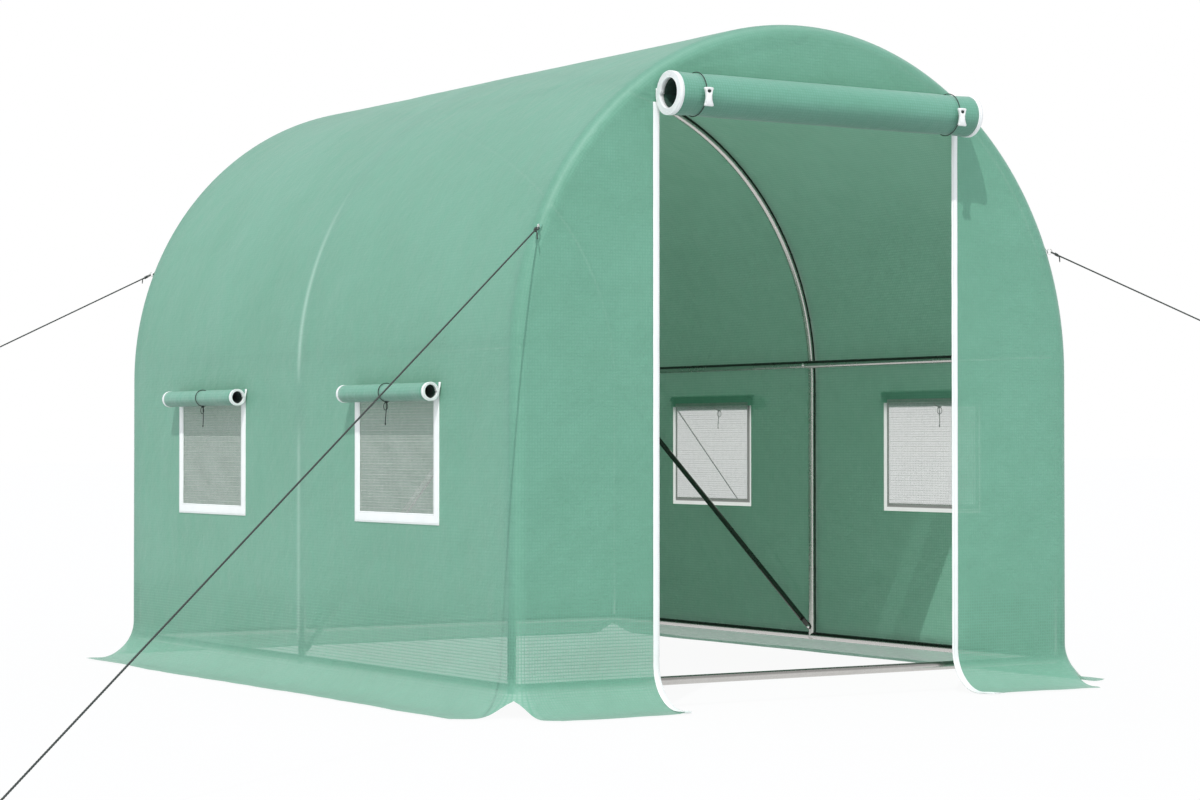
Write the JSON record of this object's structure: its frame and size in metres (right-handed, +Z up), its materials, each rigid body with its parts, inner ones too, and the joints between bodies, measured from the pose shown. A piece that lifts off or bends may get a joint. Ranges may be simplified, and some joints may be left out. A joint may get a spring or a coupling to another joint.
{
  "type": "polytunnel greenhouse",
  "caption": "Walk-in polytunnel greenhouse: tube hoops under a green woven cover with a flared ground skirt, a rolled-up door, net windows with rolled flaps, and guy ropes.",
  "frame": {"origin": "on the ground, in the middle of the tunnel and of its four pegs", "axes": "+X across the tunnel, to the right of someone who faces the door from outside; +Y along the tunnel, from the door to the back; +Z up"},
  "size_m": [6.296, 5.924, 1.9598],
  "materials": {
    "cover_sheet": "translucent green woven polyethylene with a fine reinforcing grid",
    "white_binding": "white woven tape, slightly glossy",
    "window_net": "pale insect net with fine square holes",
    "frame_tube": "dull galvanised steel tube",
    "tie_cord": "dark green laid cord",
    "guy_rope": "dark laid rope",
    "toggle": "white moulded plastic",
    "steel": "zinc-plated wire"
  },
  "bodies": {
    "root": {"front_arch": "frame_tube", "middle_arch": "frame_tube", "back_arch": "frame_tube", "front_legs": "frame_tube", "middle_legs": "frame_tube", "back_legs": "frame_tube", "ridge_pole": "frame_tube", "left_purlin": "frame_tube", "right_purlin": "frame_tube", "left_base_rail": "frame_tube", "right_base_rail": "frame_tube", "front_sill_rail": "frame_tube", "back_base_rail": "frame_tube", "side_braces": "frame_tube", "roof_cover": "cover_sheet", "left_wall_cover": "cover_sheet", "right_wall_cover": "cover_sheet", "back_panel": "cover_sheet", "front_left_panel": "cover_sheet", "front_right_panel": "cover_sheet", "front_header": "cover_sheet", "left_door_binding": "white_binding", "right_door_binding": "white_binding", "door_roll": "cover_sheet", "door_roll_bindings": "white_binding", "door_ties": "tie_cord", "door_toggles": "toggle", "front_left_window_border": "white_binding", "front_left_window_net": "window_net", "front_left_window_flap": "cover_sheet", "back_left_window_border": "white_binding", "back_left_window_net": "window_net", "back_left_window_flap": "cover_sheet", "front_right_window_border": "white_binding", "front_right_window_net": "window_net", "front_right_window_flap": "cover_sheet", "back_right_window_border": "white_binding", "back_right_window_net": "window_net", "back_right_window_flap": "cover_sheet", "window_ties": "tie_cord", "window_tie_tails": "tie_cord", "left_guy_ropes": "guy_rope", "right_guy_ropes": "guy_rope", "guy_rings": "steel", "ground_pegs": "steel"}
  },
  "joints": []
}
